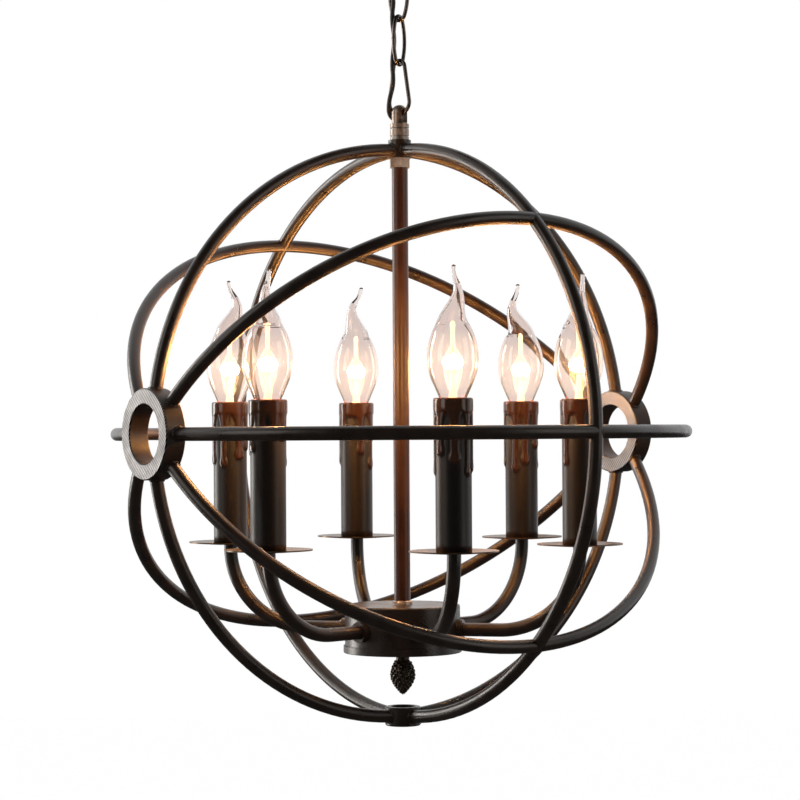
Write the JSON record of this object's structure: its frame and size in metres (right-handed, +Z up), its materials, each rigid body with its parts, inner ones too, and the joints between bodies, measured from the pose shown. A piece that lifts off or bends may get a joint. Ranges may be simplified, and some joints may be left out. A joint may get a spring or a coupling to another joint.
{
  "type": "orb chandelier",
  "caption": "Orb chandelier: a cage of bent round-bar rings on open hubs, hung on a chain, with candle lamps on curved arms from a central drum.",
  "frame": {"origin": "centre of the ceiling bracket's upper face, in the plane of the ceiling", "axes": "+Z up, +X along the line through the two open hubs, -Y towards the front of the cross ring"},
  "size_m": [0.4354, 0.4294, 0.5986],
  "materials": {
    "black_iron": "satin brown-black paint, rubbed lighter at edges",
    "hub_iron": "brown-black paint with turned marks on the faces",
    "nickel": "aged nickel",
    "chain_bronze": "dark bronze, worn bright along the wire",
    "pan_bronze": "satin bronze-brown",
    "canopy_iron": "satin brown-black paint",
    "finial_bronze": "dark cast bronze finish, highlights rubbed",
    "zinc": "zinc plate",
    "clear_glass": "clear blown glass",
    "cap_brass": "bright brass",
    "sleeve_wax": "black-brown, glossy where the wax runs",
    "holder_black": "moulded phenolic",
    "flex_black": "smooth black sheath",
    "terminal_white": "moulded nylon"
  },
  "bodies": {
    "ceiling": {"ceiling_bracket": "zinc", "canopy": "canopy_iron", "canopy_screws": "zinc", "cap_nuts": "canopy_iron", "canopy_loop": "canopy_iron", "loop_nut": "zinc", "terminal_block": "terminal_white", "flex_cable": "flex_black"},
    "upper_link": {"chain_link_upper": "chain_bronze"},
    "lower_link": {"chain_link_lower": "chain_bronze"},
    "pear": {"pear_link": "chain_bronze"},
    "fixture": {"loop_fitting": "nickel", "loop_collar": "nickel", "top_collar": "black_iron", "stem_nut": "nickel", "top_nipple": "zinc", "stem_tube": "black_iron", "hub_left": "hub_iron", "hub_right": "hub_iron", "horizontal_ring_front": "black_iron", "horizontal_ring_back": "black_iron", "main_ring_upper": "black_iron", "main_ring_lower": "black_iron", "cross_ring_front": "black_iron", "cross_ring_back": "black_iron", "tilted_ring_a_upper": "black_iron", "tilted_ring_a_lower": "black_iron", "tilted_ring_b_upper": "black_iron", "tilted_ring_b_lower": "black_iron", "bottom_collar": "black_iron", "drum_body": "black_iron", "drum_base": "black_iron", "drum_nut": "zinc", "bottom_nipple": "zinc", "finial": "finial_bronze", "wire_connectors": "terminal_white", "inner_wiring": "flex_black", "arm_collars": "black_iron", "arm_1": "black_iron", "arm_2": "black_iron", "arm_3": "black_iron", "arm_4": "black_iron", "arm_5": "black_iron", "arm_6": "black_iron", "drip_pans": "pan_bronze", "candle_sleeves": "sleeve_wax", "lamp_holders": "holder_black", "holder_brackets": "zinc"},
    "bulb_1": {"bulb_glass_1": "clear_glass", "bulb_cap_1": "cap_brass"},
    "bulb_2": {"bulb_glass_2": "clear_glass", "bulb_cap_2": "cap_brass"},
    "bulb_3": {"bulb_glass_3": "clear_glass", "bulb_cap_3": "cap_brass"},
    "bulb_4": {"bulb_glass_4": "clear_glass", "bulb_cap_4": "cap_brass"},
    "bulb_5": {"bulb_glass_5": "clear_glass", "bulb_cap_5": "cap_brass"},
    "bulb_6": {"bulb_glass_6": "clear_glass", "bulb_cap_6": "cap_brass"}
  },
  "joints": [
    {"name": "upper_link_swing", "type": "hinge", "parent": "ceiling", "child": "upper_link", "pos_m": [0, 0, -0.0381], "axis": [0.3907, -0.9205, 0], "range_deg": [-20, 20], "deforming": ["flex_cable"]},
    {"name": "lower_link_swing", "type": "hinge", "parent": "upper_link", "child": "lower_link", "pos_m": [0, 0, -0.0712], "axis": [0.9205, 0.3907, 0], "range_deg": [-20, 20], "deforming": ["flex_cable"]},
    {"name": "pear_link_swing", "type": "hinge", "parent": "lower_link", "child": "pear", "pos_m": [0, 0, -0.1043], "axis": [0.3907, -0.9205, 0], "range_deg": [-20, 20], "deforming": ["flex_cable"]},
    {"name": "orb_swing", "type": "hinge", "parent": "pear", "child": "fixture", "pos_m": [0, 0, -0.13555], "axis": [0.9205, 0.3907, 0], "range_deg": [-20, 20], "deforming": ["flex_cable"]},
    {"name": "bulb_1_turn", "type": "hinge", "parent": "fixture", "child": "bulb_1", "pos_m": [0.13176, 0.02442, -0.3816], "axis": [0, 0, 1], "continuous": true},
    {"name": "bulb_2_turn", "type": "hinge", "parent": "fixture", "child": "bulb_2", "pos_m": [0.04473, 0.12631, -0.3816], "axis": [0, 0, 1], "continuous": true},
    {"name": "bulb_3_turn", "type": "hinge", "parent": "fixture", "child": "bulb_3", "pos_m": [-0.08703, 0.10189, -0.3816], "axis": [0, 0, 1], "continuous": true},
    {"name": "bulb_4_turn", "type": "hinge", "parent": "fixture", "child": "bulb_4", "pos_m": [-0.13176, -0.02442, -0.3816], "axis": [0, 0, 1], "continuous": true},
    {"name": "bulb_5_turn", "type": "hinge", "parent": "fixture", "child": "bulb_5", "pos_m": [-0.04473, -0.12631, -0.3816], "axis": [0, 0, 1], "continuous": true},
    {"name": "bulb_6_turn", "type": "hinge", "parent": "fixture", "child": "bulb_6", "pos_m": [0.08703, -0.10189, -0.3816], "axis": [0, 0, 1], "continuous": true}
  ]
}
